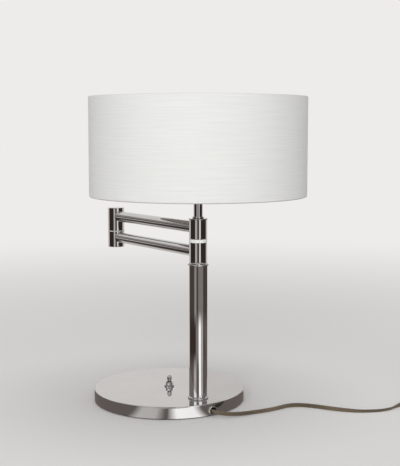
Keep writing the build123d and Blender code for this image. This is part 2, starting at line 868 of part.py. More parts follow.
# Two rings screwed on the skirt, each a ribbed hub with a wide flange against the gimbal.
with BuildPart() as shade_rings:
    for seat, side in ((seat_height, -1), (seat_height + gimbal_ring_thickness, 1)):
        with BuildSketch(column_plane(seat)):
            Circle(shade_ring_diameter / 2)
        extrude(amount=shade_ring_flange * side)
        with BuildSketch(column_plane(seat)):
            Circle(shade_ring_hub / 2)
            with PolarLocations(shade_ring_hub / 2, shade_ring_ribs):
                Circle(shade_ring_rib_diameter / 2)
        extrude(amount=shade_ring_height * side)
        with BuildSketch(column_plane(seat)):
            Circle(holder_radius + fit_clearance)
        extrude(amount=shade_ring_height * side, mode=Mode.SUBTRACT)
finish(shade_rings, "shade_rings")

# ---------------------------------------------------------------- lamp
lamp_bottom = core_top + contact_rise + swing_clearance
lamp_cap_top = lamp_bottom + lamp_cap_height
lamp_cap_radius = lamp_thread / 2 - fit_clearance
lamp_tip = lamp_tip_diameter / 2
thread_start = lamp_bottom + lamp_glass_height + lamp_thread_start
with BuildPart() as lamp_cap:
    with BuildSketch(column_section):
        with BuildLine():
            Polyline(
                (0, lamp_bottom),
                (lamp_tip, lamp_bottom),
                (lamp_tip + lamp_tip_height, lamp_bottom + lamp_tip_height),
                (lamp_cap_radius - lamp_thread_start, lamp_bottom + lamp_glass_height),
                (lamp_cap_radius, thread_start),
                (lamp_cap_radius, lamp_cap_top),
                (0, lamp_cap_top),
                close=True,
            )
        make_face()
    revolve(axis=column_axis)
finish(lamp_cap, "lamp_cap")

globe_radius = lamp_globe_diameter / 2
collar_top_radius = globe_radius * lamp_collar_share
seam_height = lamp_cap_top + lamp_collar_height
globe_centre = seam_height + (globe_radius**2 - collar_top_radius**2) ** 0.5
with BuildPart() as lamp_collar:
    with BuildSketch(column_section):
        with BuildLine():
            foot = Line((0, lamp_cap_top), (lamp_cap_radius + lamp_collar_lip, lamp_cap_top))
            flare = Spline(
                foot @ 1,
                (collar_top_radius, seam_height),
                tangents=[(0, 1), (globe_centre - seam_height, collar_top_radius)],
            )
            rim_line = Line(flare @ 1, (0, seam_height))
            Line(rim_line @ 1, foot @ 0)
        make_face()
    revolve(axis=column_axis)
finish(lamp_collar, "lamp_collar")

with BuildPart() as lamp_globe:
    with BuildSketch(column_section):
        with BuildLine():
            inner_radius = globe_radius - globe_wall
            inner_seam = (inner_radius**2 - (globe_centre - seam_height) ** 2) ** 0.5
            crown = ThreePointArc(
                (collar_top_radius, seam_height),
                (globe_radius, globe_centre),
                (0, globe_centre + globe_radius),
            )
            wall = Line(crown @ 1, (0, globe_centre + inner_radius))
            inside = ThreePointArc(wall @ 1, (inner_radius, globe_centre), (inner_seam, seam_height))
            Line(inside @ 1, crown @ 0)
        make_face()
    revolve(axis=column_axis)
finish(lamp_globe, "lamp_globe")

# ---------------------------------------------------------------- shade
shade_radius = shade_diameter / 2
liner_outer = shade_radius - fabric_thickness
liner_inner = liner_outer - liner_thickness
wire_radius = wire_diameter / 2
ring_radius = liner_inner - fit_clearance - wire_radius
lower_ring_height = shade_bottom + fabric_thickness + fit_clearance + wire_radius
upper_ring_height = shade_top - fabric_thickness - fit_clearance - wire_radius


# Recessed gimbal: three spokes rise from the lower hoop to the ring that the lamp holder clamps.
with BuildPart() as shade_frame:
    with BuildSketch(column_section):
        with Locations((ring_radius, lower_ring_height)):
            Circle(wire_radius)
    revolve(axis=column_axis)
    spoke_height = seat_height + gimbal_ring_thickness / 2
    spoke_start = gimbal_ring_diameter / 2 - spoke_diameter / 2
    for turn in range(spoke_count):
        heading = 2 * pi * turn / spoke_count + pi / 2
        with BuildLine() as spoke_path:
            FilletPolyline(
                *[
                    (r * cos(heading), column_offset + r * sin(heading), z)
                    for r, z in (
                        (spoke_start, spoke_height),
                        (spoke_start + spoke_shelf, spoke_height),
                        (ring_radius - spoke_foot, lower_ring_height + spoke_foot_rise),
                        (ring_radius, lower_ring_height),
                    )
                ],
                radius=spoke_bend,
            )
        with BuildSketch(Plane(origin=spoke_path.line @ 0, z_dir=spoke_path.line % 0)):
            Circle(spoke_diameter / 2)
        sweep(path=spoke_path.line)
    with BuildSketch(column_plane(seat_height)):
        Circle(gimbal_ring_diameter / 2)
    extrude(amount=gimbal_ring_thickness)
    with BuildSketch(column_plane(seat_height - spoke_diameter)):
        Circle(holder_radius + gimbal_play)
    extrude(amount=3 * spoke_diameter, mode=Mode.SUBTRACT)
finish(shade_frame, "shade_frame")

with BuildPart() as shade_top_wire:
    with BuildSketch(column_section):
        with Locations((ring_radius, upper_ring_height)):
            Circle(wire_radius)
    revolve(axis=column_axis)
finish(shade_top_wire, "shade_top_wire")

liner_bottom = shade_bottom + fabric_thickness
liner_top = shade_top - fabric_thickness
with BuildPart() as shade_liner:
    with BuildSketch(column_plane(liner_bottom)):
        Circle(liner_outer)
        Circle(liner_inner, mode=Mode.SUBTRACT)
    extrude(amount=liner_top - liner_bottom)
finish(shade_liner, "shade_liner")

# Fabric skin with its edges turned in over both hoops.
hem_inner = ring_radius - wire_radius - fit_clearance - fabric_thickness
lower_hem = shade_bottom + fabric_thickness + hem_lip
with BuildPart() as shade_fabric:
    with BuildSketch(column_section):
        with BuildLine():
            Polyline(
                (hem_inner, shade_bottom),
                (shade_radius, shade_bottom),
                (shade_radius, shade_top),
                (hem_inner, shade_top),
                (hem_inner, shade_top - hem_depth),
                (hem_inner + fabric_thickness, shade_top - hem_depth),
                (hem_inner + fabric_thickness, liner_top),
                (liner_outer, liner_top),
                (liner_outer, liner_bottom),
                (hem_inner + fabric_thickness, liner_bottom),
                (hem_inner + fabric_thickness, lower_hem),
                (hem_inner, lower_hem),
                close=True,
            )
        make_face()
    revolve(axis=column_axis)
finish(shade_fabric, "shade_fabric")

# ---------------------------------------------------------------- mains lead
cord_radius = cord_diameter / 2

# Route of the free lead, from inside the bushing, over the table, to the coil.
lead_route = [
    (0.0, 119.0, 7.9),
    (0.0, 132.5, 7.9),
    (-6.0, 144.0, 7.4),
    (-17.0, 151.5, 6.2),
    (-35.5, 155.5, 4.5),
    (-56.0, 156.5, 3.4),
    (-80.0, 161.0, 3.4),
    (-107.0, 162.0, 3.4),
    (-134.0, 159.0, 3.4),
    (-153.0, 170.0, 3.4),
    (-167.0, 190.0, 3.4),
    (-178.0, 212.0, 3.4),
    (-191.0, 232.0, 3.4),
    (-209.0, 249.0, 3.4),
    (-231.0, 262.0, 3.4),
    (-254.0, 268.5, 3.4),
    (-279.0, 266.5, 3.6),
    (-303.0, 261.0, 4.0),
    (-325.0, 260.0, 4.2),
]
coil_x = -335.0
coil_outer_turn = coil_turn_diameter / 2 + cord_diameter * (coil_rows - 1) / 2
coil_y = lead_route[-1][1] + coil_outer_turn
coil_bottom = tie_thickness
coil_height = coil_layers * cord_diameter
tail_height = coil_bottom + coil_height - cord_radius
plug_heading = 103.0      # degrees, from +X
plug_along = Vector(cos(radians(plug_heading)), sin(radians(plug_heading)), 0)
plug_start = Vector(coil_x - coil_outer_turn - 7.0, coil_y + 48.0, plug_thickness / 2)

# Tail from the coil's upper outer turn, straight into the plug.
tail_route = [
    (coil_x - coil_outer_turn, coil_y - 6.0, tail_height),
    (coil_x - coil_outer_turn - 0.6, coil_y + 13.0, tail_height - 1.6),
    tuple(plug_start - plug_along * 18.0),
    tuple(plug_start),
]


def run_lengths(route):
    """Lengths of the straight runs between a route's points."""
    points = [Vector(*p) for p in route]
    return [(b - a).length for a, b in zip(points, points[1:])]


def corner_radii(route):
    """Arc radius at each inner point: as large as its two runs allow."""
    points = [Vector(*p) for p in route]
    runs = run_lengths(route)
    radii = []
    for i in range(1, len(points) - 1):
        turn = (points[i] - points[i - 1]).get_angle(points[i + 1] - points[i])
        radii.append(0.45 * min(runs[i - 1], runs[i]) / tan(radians(turn) / 2))
    return radii


# Free stretches of the lead: straight runs joined by tangent arcs.
with BuildPart() as cord_lead:
    for route in (lead_route, tail_route):
        with BuildLine() as path:
            FilletPolyline(*route, radius=corner_radii(route))
        with BuildSketch(Plane(origin=path.line @ 0, z_dir=path.line % 0)):
            Circle(cord_radius)
        sweep(path=path.line)
        print("cord radii", [round(r, 1) for r in corner_radii(route)])
        print("cord length", round(sum(edge.length for edge in path.edges()), 1))
finish(cord_lead, "cord_lead")

coil_width = coil_rows * cord_diameter
coil_axis = Axis((coil_x, coil_y, 0), (0, 0, 1))
with BuildPart() as cord_coil:
    with BuildSketch(Plane.XZ.offset(-coil_y)):
        with Locations((coil_x + coil_turn_diameter / 2, coil_bottom + coil_height / 2)):
            RectangleRounded(coil_width, coil_height, cord_radius * 0.9)
    revolve(axis=coil_axis)
finish(cord_coil, "cord_coil")

# Tie: a flat band closed round the bundle of turns.
tie_gap = 0.5
tie_turn = 35.0
tie_frame = Plane(
    origin=(
        coil_x + coil_turn_diameter / 2 * cos(radians(tie_turn)),
        coil_y + coil_turn_diameter / 2 * sin(radians(tie_turn)),
        coil_bottom + coil_height / 2,
    ),
    x_dir=(cos(radians(tie_turn)), sin(radians(tie_turn)), 0),
    z_dir=(sin(radians(tie_turn)), -cos(radians(tie_turn)), 0),
)
with BuildPart() as cord_tie:
    with BuildSketch(tie_frame):
        RectangleRounded(
            coil_width + 2 * (tie_gap + tie_thickness), coil_height + 2 * tie_thickness, cord_radius
        )
        RectangleRounded(coil_width + 2 * tie_gap, coil_height, cord_radius * 0.85, mode=Mode.SUBTRACT)
    extrude(amount=tie_width / 2, both=True)
finish(cord_tie, "cord_tie")

# Plug: tapered relief, flat moulded body that widens to the pins.
plug_face = Plane(origin=plug_start, x_dir=tuple(plug_along), z_dir=(0, 0, 1))
body_start = plug_start + plug_along * relief_length
relief_tip = cord_radius + relief_tip_wall
relief_foot = cord_radius + relief_foot_wall
slot_pitch = relief_length / (relief_slots + 1)
with BuildPart() as plug_relief:
    with BuildSketch(plug_face):
        with BuildLine():
            Polyline(
                (0, 0),
                (0, relief_tip),
                (relief_length, relief_foot),
                (relief_length, 0),
                close=True,
            )
        make_face()
        # moulded slots that let the relief bend
        slot_spots = [(slot_pitch * (i + 1), cord_radius + relief_slot_wall) for i in range(relief_slots)]
        with Locations(*slot_spots):
            Rectangle(
                relief_slot_width,
                relief_foot_wall,
                align=(Align.CENTER, Align.MIN),
                mode=Mode.SUBTRACT,
            )
    revolve(axis=Axis(tuple(plug_start), tuple(plug_along)))
finish(plug_relief, "plug_relief")

body_foot = body_start - Vector(0, 0, plug_thickness / 2)
body_plane = Plane(origin=body_foot, x_dir=tuple(plug_along), z_dir=(0, 0, 1))
rib_pitch = grip_length / grip_ribs
with BuildPart() as plug_body:
    with BuildSketch(body_plane):
        with BuildLine():
            Polyline(
                (0, -plug_tail_width / 2),
                (plug_waist, -plug_waist_width / 2),
                (plug_shoulder, -plug_width / 2),
                (plug_length, -plug_width / 2),
                (plug_length, plug_width / 2),
                (plug_shoulder, plug_width / 2),
                (plug_waist, plug_waist_width / 2),
                (0, plug_tail_width / 2),
                close=True,
            )
        make_face()
        fillet(vertices(), plug_corner)
    extrude(amount=plug_thickness)
    rims = plug_body.edges().group_by(Axis.Z)
    fillet(rims[-1] + rims[0], plug_edge)
    # finger grip on both faces: a shallow recess with ribs across it
    for recess_floor in (0, plug_thickness - grip_depth):
        with BuildSketch(body_plane.offset(recess_floor)):
            with Locations((plug_shoulder, 0)):
                Rectangle(grip_length, grip_width)
                with GridLocations(rib_pitch, 0, grip_ribs, 1):
                    Rectangle(grip_rib_width, grip_width, mode=Mode.SUBTRACT)
        extrude(amount=grip_depth, mode=Mode.SUBTRACT)
finish(plug_body, "plug_body")

pin_face = body_start + plug_along * plug_length
pin_plane = Plane(
    origin=pin_face,
    x_dir=(sin(radians(plug_heading)), -cos(radians(plug_heading)), 0),
    z_dir=tuple(plug_along),
)
with BuildPart() as plug_pins:
    with BuildSketch(pin_plane):
        with GridLocations(pin_spacing, 0, 2, 1):
            Circle(pin_diameter / 2)
    extrude(amount=pin_length)
    tips = plug_pins.edges().filter_by(GeomType.CIRCLE).sort_by(Axis(pin_face, tuple(plug_along)))[-2:]
    fillet(tips, pin_diameter * 0.4)
finish(plug_pins, "plug_pins")
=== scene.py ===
import json
from math import atan2, cos, degrees, hypot, pi, radians, sin

import bmesh
import bpy
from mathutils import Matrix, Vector


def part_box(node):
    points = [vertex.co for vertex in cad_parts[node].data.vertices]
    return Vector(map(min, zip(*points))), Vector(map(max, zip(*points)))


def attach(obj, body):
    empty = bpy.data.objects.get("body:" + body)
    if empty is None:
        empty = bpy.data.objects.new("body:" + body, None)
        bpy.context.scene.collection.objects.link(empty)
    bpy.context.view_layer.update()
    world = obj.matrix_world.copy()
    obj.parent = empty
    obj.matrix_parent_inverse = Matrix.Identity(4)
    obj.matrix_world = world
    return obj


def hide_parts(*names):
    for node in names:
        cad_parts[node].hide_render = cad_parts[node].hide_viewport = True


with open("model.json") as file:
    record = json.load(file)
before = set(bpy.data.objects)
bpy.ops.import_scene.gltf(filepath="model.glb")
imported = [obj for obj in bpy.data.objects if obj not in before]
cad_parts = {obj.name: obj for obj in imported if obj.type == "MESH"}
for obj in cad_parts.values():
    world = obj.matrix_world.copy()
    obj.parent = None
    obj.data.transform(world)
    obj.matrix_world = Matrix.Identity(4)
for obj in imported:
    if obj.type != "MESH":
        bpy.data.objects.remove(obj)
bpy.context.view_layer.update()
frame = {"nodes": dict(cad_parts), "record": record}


class Wire:  # one shader socket, so that a pattern can be written as a sum
    def __init__(self, finish, socket):
        self.finish = finish
        self.socket = socket

    def __add__(self, other):
        return self.finish.reckon("ADD", self, other)

    __radd__ = __add__

    def __sub__(self, other):
        return self.finish.reckon("SUBTRACT", self, other)

    def __rsub__(self, other):
        return self.finish.reckon("SUBTRACT", other, self)

    def __mul__(self, other):
        return self.finish.reckon("MULTIPLY", self, other)

    __rmul__ = __mul__

    def __truediv__(self, other):
        return self.finish.reckon("DIVIDE", self, other)

    def __rtruediv__(self, other):
        return self.finish.reckon("DIVIDE", other, self)

    def __gt__(self, other):
        return self.finish.reckon("GREATER_THAN", self, other)

    def __lt__(self, other):
        return self.finish.reckon("LESS_THAN", self, other)

class Finish:  # one material being put together
    def __init__(self, name):
        self.material = bpy.data.materials.new(name)
        self.material.use_nodes = True
        self.tree = self.material.node_tree
        self.tree.nodes.clear()

    def node(self, kind, settings=None, values=None, take=0):
        made = self.tree.nodes.new(kind)
        for name, setting in (settings or {}).items():
            if name == "stops":
                for extra in range(len(setting) - 2):
                    made.color_ramp.elements.new(0.5)
                for element, (place, colour) in zip(made.color_ramp.elements, setting):
                    element.position = place
                    element.color = colour
            else:
                setattr(made, name, setting)
        for name, value in (values or {}).items():
            if isinstance(value, Wire):
                self.tree.links.new(value.socket, made.inputs[name])
            else:
                made.inputs[name].default_value = value
        return Wire(self, made.outputs[take]) if len(made.outputs) else None

    def reckon(self, operation, first, second=0.0):
        return self.node("ShaderNodeMath", {"operation": operation}, {0: first, 1: second})

    def wave(self, angle):
        return self.reckon("SINE", angle)

    def blend(self, factor, first, second):  # two colours by a mask
        values = {0: factor, 6: first, 7: second}
        return self.node("ShaderNodeMix", {"data_type": "RGBA"}, values, take=2)

    def place(self, output="Object"):
        return self.node("ShaderNodeTexCoord", take={"UV": 2, "Object": 3}[output])

    def parts(self, vector):  # the three numbers of a vector
        first = self.node("ShaderNodeSeparateXYZ", values={0: vector})
        return [Wire(self, socket) for socket in first.socket.node.outputs]

    def join(self, x, y, z):
        return self.node("ShaderNodeCombineXYZ", values={0: x, 1: y, 2: z})

    def stretched(self, vector, scale):
        return self.node("ShaderNodeMapping", values={"Vector": vector, "Scale": scale})

    def noise(self, vector, scale, detail=2.0, rough=0.5):
        values = {"Vector": vector, "Scale": scale, "Detail": detail, "Roughness": rough}
        return self.node("ShaderNodeTexNoise", values=values)

    def bump(self, height, depth, strength):
        return self.node("ShaderNodeBump", values={"Height": height, "Distance": depth, "Strength": strength})

    def ramped(self, value, span):  # a soft step from 0 to 1 over a span
        return self.node("ShaderNodeMapRange", {"interpolation_type": "SMOOTHSTEP"}, {
            "Value": value, "From Min": span[0], "From Max": span[1]})

    def surface(self, values):
        shader = self.node("ShaderNodeBsdfPrincipled", values=values)
        self.node("ShaderNodeOutputMaterial", values={"Surface": shader})
        return self.material


def tone(red, green=None, blue=None):  # screen values 0-255 to a linear colour
    parts = [red, red if green is None else green, red if blue is None else blue]
    return (*[((c / 255 + 0.055) / 1.055) ** 2.4 if c > 10 else c / 3295 for c in parts], 1.0)


def chromeFinish():
    chrome = Finish("chrome")
    spot = chrome.place()
    haze = chrome.noise(spot, 55.0, 3.0)
    scuff = chrome.noise(chrome.stretched(spot, (900, 900, 14)), 1.0, 1.0)
    return chrome.surface({
        "Base Color": chrome.blend(haze, tone(196, 196, 197), tone(214, 213, 211)),
        "Metallic": 1.0,
        "Roughness": haze * 0.02 + scuff * 0.02 + 0.005,
        "Normal": chrome.bump(haze, 0.00004, 0.25),
    })


def satinFinish():
    satin = Finish("satinChrome")
    spot = satin.place()
    x, y, z = satin.parts(spot)
    reach = satin.reckon("SQRT", x * x + y * y)
    turn = satin.reckon("ARCTAN2", y, x)
    rings = satin.noise(satin.join(reach * 2600.0, turn * 1.5, z * 900.0), 1.0, 2.0)
    haze = satin.noise(spot, 22.0, 3.0)
    return satin.surface({
        "Base Color": satin.blend(haze, tone(196, 196, 196), tone(210, 209, 207)),
        "Metallic": 1.0,
        "Roughness": rings * 0.03 + haze * 0.02 + 0.03,
        "Normal": satin.bump(rings, 0.00002, 0.35),
    })


def plainFinish(name, colour, shade, rough=0.5, metallic=0.0, scale=120.0, depth=0.00005):
    made = Finish(name)
    spot = made.place()
    speck = made.noise(spot, scale, 4.0, 0.6)
    return made.surface({
        "Base Color": made.blend(speck, colour, shade),
        "Metallic": metallic,
        "Roughness": speck * 0.15 + rough,
        "Normal": made.bump(speck, depth, 0.5),
    })


def clothFinish():  # woven cloth with thicker weft threads here and there
    cloth = Finish("shadeCloth")
    across, up, _ = cloth.parts(cloth.place("UV"))
    slub = cloth.noise(cloth.join(across * 14.0, up * 78.0, 0.0), 1.0, 1.0)
    thread = cloth.noise(cloth.join(across * 90.0, up * 330.0, 4.0), 1.0, 2.0, 0.6)
    weft = cloth.wave(up * (2 * pi * 350.0))
    warp = cloth.wave(across * (2 * pi * 2200.0))
    weave = weft * warp * 0.12 + slub * 0.4 + thread * 0.4
    pale = slub * 0.9 + thread * 0.4 - 0.15
    colour = cloth.blend(pale, tone(219, 219, 217), tone(233, 233, 231))
    edgeShadeMask = cloth.ramped(up, (0.034, 0.044))  # painted shade: darker below this, on the rolled lower edge round the hoop
    return cloth.surface({
        "Base Color": cloth.blend(edgeShadeMask, tone(168, 162, 158), colour),
        "Roughness": 0.85,
        "Normal": cloth.bump(weave, 0.0006, 0.6),
        "Sheen Weight": 0.15,
    })


def leadFinish():
    lead = Finish("leadCloth")
    along, around, _ = lead.parts(lead.place("UV"))
    one = lead.wave(along * (2 * pi * 520.0) + around * (2 * pi * 8))
    two = lead.wave(along * (2 * pi * 520.0) - around * (2 * pi * 8))
    braid = one * two
    fade = lead.noise(lead.place(), 60.0, 3.0)
    colour = lead.blend(fade, tone(106, 93, 75), tone(136, 120, 97))
    return lead.surface({
        "Base Color": lead.blend(braid * 0.5 + 0.5, tone(82, 71, 56), colour),
        "Roughness": 0.8,
        "Normal": lead.bump(braid, 0.0002, 0.6),
        "Sheen Weight": 0.2,
    })


finishes = {
    "chrome": chromeFinish(),
    "satin_chrome": satinFinish(),
    "felt": plainFinish("felt", tone(34), tone(48), 0.9, scale=900.0, depth=0.0003),
    "plate": plainFinish("plate", tone(120), tone(140), 0.4, 1.0),
    "cast_iron": plainFinish("castIron", tone(70), tone(84), 0.7, 0.8, scale=400.0, depth=0.0004),
    "zinc": plainFinish("zinc", tone(168, 170, 172), tone(190, 190, 188), 0.3, 1.0),
    "nylon": plainFinish("nylon", tone(238, 240, 236), tone(246, 247, 243), 0.35),
    "phenolic": plainFinish("phenolic", tone(28, 24, 22), tone(38, 32, 29), 0.3),
    "brass": plainFinish("brass", tone(196, 160, 92), tone(214, 180, 110), 0.25, 1.0),
    "porcelain": plainFinish("porcelain", tone(230, 228, 222), tone(238, 236, 231), 0.2),
    "lamp_white": plainFinish("lampWhite", tone(236, 235, 230), tone(240, 239, 236), 0.3),
    # the film inside the shade is grey-beige rather than white: painted shade for its unlit inside
    "shade_film": plainFinish("shadeFilmPaintedShade", tone(190, 183, 175), tone(198, 191, 183), 0.5),
    "frame_white": plainFinish("frameWhite", tone(228, 228, 225), tone(236, 235, 232), 0.35),
    "plug_brown": plainFinish("plugBrown", tone(62, 50, 38), tone(72, 59, 45), 0.45, scale=600.0),
    "shade_cloth": clothFinish(),
    "lead_cloth": leadFinish(),
}
slotOf = {part["node"]: part["material_slot"] for part in frame["record"]["subparts"]}
for node, piece in frame["nodes"].items():
    piece.material_slots[0].material = finishes[slotOf[node]]
print("finishes on the solids")


def sole(*pieces):  # only these are selected, the first is active
    bpy.ops.object.select_all(action="DESELECT")
    for piece in pieces:
        piece.select_set(True)
    if pieces:
        bpy.context.view_layer.objects.active = pieces[0]


def turned(name, axis, outline, steps):  # rings drawn out along a profile of radius and height
    sole()
    radius, height = outline[0]
    place = (*axis, height)
    bpy.ops.mesh.primitive_circle_add(vertices=steps, radius=radius, location=place, calc_uvs=False)
    piece = bpy.context.object
    piece.name = name
    bpy.ops.object.transform_apply(location=True, rotation=True, scale=True)
    bpy.ops.object.mode_set(mode="EDIT")
    bpy.ops.mesh.select_all(action="SELECT")
    for nextRadius, nextHeight in outline[1:]:
        bpy.ops.mesh.extrude_region_move(TRANSFORM_OT_translate={"value": (0, 0, nextHeight - height)})
        grown = nextRadius / radius
        bpy.ops.transform.resize(value=(grown, grown, 1), center_override=(axis[0], axis[1], nextHeight))
        radius, height = nextRadius, nextHeight
    bpy.ops.mesh.select_all(action="SELECT")
    bpy.ops.mesh.normals_make_consistent(inside=False)
    bpy.ops.object.mode_set(mode="OBJECT")
    return piece


def arc(centre, radius, start, end, steps):  # points of a rounded corner, angles in degrees
    turns = [radians(start + (end - start) * step / steps) for step in range(steps + 1)]
    return [(centre[0] + radius * cos(turn), centre[1] + radius * sin(turn)) for turn in turns]


def smoothed(piece, angle):
    sole(piece)
    bpy.ops.object.shade_smooth_by_angle(angle=radians(angle))


def applied(piece, kind, **settings):  # adds a modifier and applies it
    sole(piece)
    bpy.ops.object.modifier_add(type=kind)
    modifier = piece.modifiers[-1]
    for name, setting in settings.items():
        setattr(modifier, name, setting)
    bpy.ops.object.modifier_apply(modifier=modifier.name)


def wound(piece, axis, path, start):  # a map that runs round the axis from a heading, and along the profile
    lengths = [0.0]
    for (r0, z0), (r1, z1) in zip(path, path[1:]):
        lengths.append(lengths[-1] + hypot(r1 - r0, z1 - z0))
    layer = piece.data.uv_layers.new(name="UVMap")
    shape = piece.data
    for face in shape.polygons:
        middle = (atan2(face.center.y - axis[1], face.center.x - axis[0]) - start) % (2 * pi)
        for corner in face.loop_indices:
            spot = shape.vertices[shape.loops[corner].vertex_index].co
            turn = atan2(spot.y - axis[1], spot.x - axis[0]) - start
            turn += 2 * pi * round((middle - turn) / (2 * pi))
            reach = hypot(spot.x - axis[0], spot.y - axis[1])
            nearest = min(range(len(path)), key=lambda i: hypot(path[i][0] - reach, path[i][1] - spot.z))
            layer.data[corner].uv = (turn / (2 * pi), lengths[nearest] / lengths[-1])


def placed(piece, body, slot, *nodes):  # gives a finished piece its body, finish and the solids it stands for
    piece.data.materials.clear()
    piece.data.materials.append(finishes[slot])
    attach(piece, body)
    if nodes:
        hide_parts(*nodes)


lead = {
    "thickness": 0.0068,
    "strand": 0.0035,
    "twist": [(0.0, 1.2), (0.05, 1.5), (0.22, 1.8), (0.29, 3.0), (0.33, 3.3)],  # turn at distances
    "lay": 0.12,  # one full twist further along
    "exit": (0.0, 0.119, 0.0079),
    "coilCentre": (-0.335, 0.3042),
    "coilTurn": 0.0374,
    "coilLow": 0.0042,
    "turns": 6.25,
    "stepsPerTurn": 20,
    "stepShare": 0.16,  # of a turn, where it steps to the next row
    "gap": 0.002,  # between the rings of the strands' mesh
    "sides": 12,
    "laidHeight": 0.0052,  # below this the pair sinks flat onto the table
    "laidFade": 0.0016,  # over this much further down
    "flatShare": 0.01,  # keeps the sinking smooth where the strands lie side by side
    "coilNear": 0.012,  # from this close to the coil's start the pair no longer sinks
}
run = [
    (0.0, 0.119, 0.0079), (0.0, 0.1325, 0.0079), (-0.006, 0.144, 0.0074), (-0.017, 0.1515, 0.0062),
    (-0.0355, 0.1555, 0.0045), (-0.056, 0.1565, 0.0034), (-0.080, 0.161, 0.0034), (-0.107, 0.162, 0.0034),
    (-0.134, 0.159, 0.0034), (-0.153, 0.170, 0.0034), (-0.167, 0.190, 0.0034), (-0.178, 0.212, 0.0034),
    (-0.191, 0.232, 0.0034), (-0.209, 0.249, 0.0034), (-0.231, 0.262, 0.0034), (-0.254, 0.2685, 0.0034),
    (-0.279, 0.2665, 0.0036), (-0.303, 0.261, 0.0040),
]
tail = [(-0.3798, 0.3172, 0.0094), (-0.38215, 0.33466, 0.0068), (-0.3862, 0.3522, 0.0068)]


def coilPoints():
    points = []
    d = lead["thickness"]
    rows = [d, 0.0, -d, -d, 0.0, d, d]  # each turn's row: inwards on the lower layer, outwards on the upper
    swell = 1 / cos(pi / lead["stepsPerTurn"])
    for step in range(int(lead["turns"] * lead["stepsPerTurn"]) + 1):
        turns = step / lead["stepsPerTurn"]
        turn = min(int(turns), len(rows) - 2)
        late = max(0.0, (turns - turn - 1 + lead["stepShare"]) / lead["stepShare"])
        late = late * late * (3 - 2 * late)
        row = rows[turn] + (rows[turn + 1] - rows[turn]) * late
        layer = 0.0 if turn < 2 else (late if turn == 2 else 1.0)
        dip = -d / 2 * sin(pi * layer)
        reach = (lead["coilTurn"] + row + dip) * swell
        heading = -pi / 2 - 2 * pi * turns
        points.append((
            lead["coilCentre"][0] + reach * cos(heading),
            lead["coilCentre"][1] + reach * sin(heading),
            lead["coilLow"] + d * layer,
        ))
    return points


def smoothLine(points):  # the route's smooth line, as points at equal steps
    curve = bpy.data.curves.new("leadRoute", "CURVE")
    curve.dimensions = "3D"
    spline = curve.splines.new("NURBS")
    spline.points.add(len(points) - 1)
    for point, place in zip(spline.points, points):
        point.co = (*place, 1.0)
    spline.order_u = 3
    spline.use_endpoint_u = True
    holder = bpy.data.objects.new("leadRoute", curve)
    bpy.context.scene.collection.objects.link(holder)
    mesh = bpy.data.meshes.new_from_object(holder)
    line = [vertex.co.copy() for vertex in mesh.vertices]
    bpy.data.objects.remove(holder)
    total = sum((b - a).length for a, b in zip(line, line[1:]))
    count = round(total / lead["gap"])
    even = [line[0]]
    travelled = 0.0
    for a, b in zip(line, line[1:]):
        stride = (b - a).length
        while travelled + stride >= total * len(even) / count and len(even) < count:
            even.append(a.lerp(b, (total * len(even) / count - travelled) / stride))
        travelled += stride
    return even + [line[-1]], total


def crossings(line):  # a steady pair of cross directions at each point
    headings = [(b - a).normalized() for a, b in zip(line, line[1:])]
    up = Vector((0, 0, 1))
    pairs = []
    for heading in headings + headings[-1:]:
        side = heading.cross(up).normalized()
        up = side.cross(heading).normalized()
        pairs.append((side, up))
    return pairs


def strandTurn(travelled):
    keys = lead["twist"]
    for (distance, turn), (nextDistance, nextTurn) in zip(keys, keys[1:]):
        if travelled <= nextDistance:
            share = (travelled - distance) / (nextDistance - distance)
            return turn + (nextTurn - turn) * share * share * (3 - 2 * share)
    return keys[-1][1] + 2 * pi * (travelled - keys[-1][0]) / lead["lay"]


def strandLine(line, half):
    reach = (lead["thickness"] - lead["strand"]) / 2
    places = []
    for step, (spot, (side, up)) in enumerate(zip(line, crossings(line))):
        angle = strandTurn(step * leadGap) + half
        low = (lead["laidHeight"] - spot.z) / lead["laidFade"]
        laid = min(1.0, max(0.0, low)) if step < coilStep else 0.0
        sink = reach * (1 - (sin(angle) ** 2 + lead["flatShare"]) ** 0.5) * laid
        place = spot + (side * cos(angle) + up * sin(angle)) * reach
        place.z = max(place.z - sink, lead["strand"] / 2)
        places.append(place)
    return places


def sleeved(name, line, radius, sides):  # a closed tube with a map: round it, then along it
    shape = bmesh.new()
    rings = []
    for spot, (side, up) in zip(line, crossings(line)):
        turns = [2 * pi * step / sides for step in range(sides)]
        rings.append([shape.verts.new(spot + (side * cos(turn) + up * sin(turn)) * radius) for turn in turns])
    layer = shape.loops.layers.uv.new("UVMap")
    for step, (ring, following) in enumerate(zip(rings, rings[1:])):
        for corner in range(sides):
            after = (corner + 1) % sides
            face = shape.faces.new((ring[corner], ring[after], following[after], following[corner]))
            face.smooth = True
            across, along = corner / sides, step / (len(rings) - 1)
            wide, long = 1 / sides, 1 / (len(rings) - 1)
            right, top = across + wide, along + long
            places = ((across, along), (right, along), (right, top), (across, top))
            for loop, place in zip(face.loops, places):
                loop[layer].uv = place
    shape.faces.new(rings[0][::-1])
    shape.faces.new(rings[-1])
    bmesh.ops.recalc_face_normals(shape, faces=shape.faces)
    mesh = bpy.data.meshes.new(name)
    shape.to_mesh(mesh)
    shape.free()
    piece = bpy.data.objects.new(name, mesh)
    bpy.context.scene.collection.objects.link(piece)
    return piece


